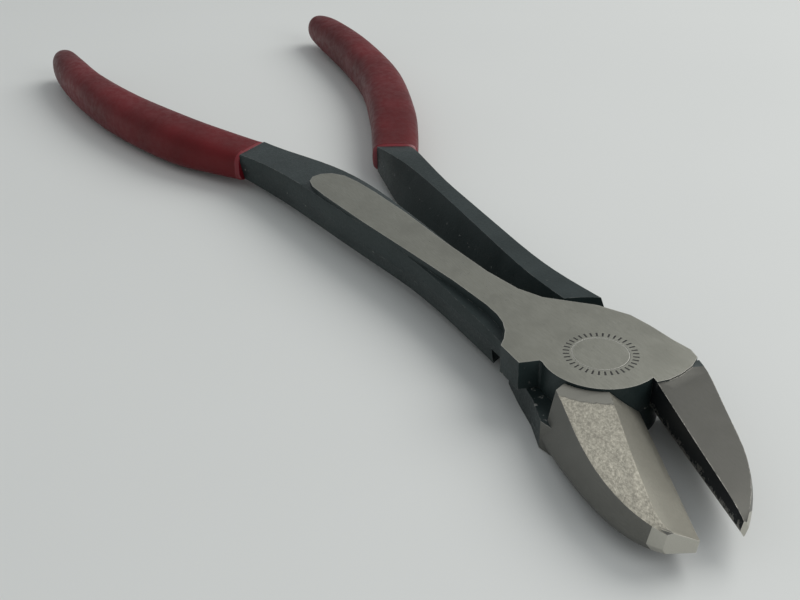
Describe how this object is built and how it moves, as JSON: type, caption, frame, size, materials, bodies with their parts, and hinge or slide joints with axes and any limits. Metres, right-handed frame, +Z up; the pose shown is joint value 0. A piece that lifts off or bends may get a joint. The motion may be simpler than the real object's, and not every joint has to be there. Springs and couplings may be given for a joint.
{
  "type": "diagonal cutting pliers",
  "caption": "Long-handled diagonal cutting pliers: half-lapped forged levers with bevelled jaws turning on a flush rivet, and dipped red vinyl grips.",
  "frame": {"origin": "pivot axis at the ground underside of the head", "axes": "+X to the jaws, +Z up through the rivet, the upper lever's handle on the -Y side"},
  "size_m": [0.2671, 0.0922, 0.012],
  "materials": {
    "forged_steel": "black oxide with ground head faces",
    "rivet_steel": "ground",
    "grip_vinyl": "satin dipped vinyl"
  },
  "bodies": {
    "lower": {"lower_lever": "forged_steel", "rivet": "rivet_steel", "lower_grip": "grip_vinyl"},
    "upper": {"upper_lever": "forged_steel", "upper_grip": "grip_vinyl"}
  },
  "joints": [
    {"name": "pivot", "type": "hinge", "parent": "lower", "child": "upper", "pos_m": [0, 0, 0.006], "axis": [0, 0, 1], "range_deg": [-8.8, 35]}
  ]
}
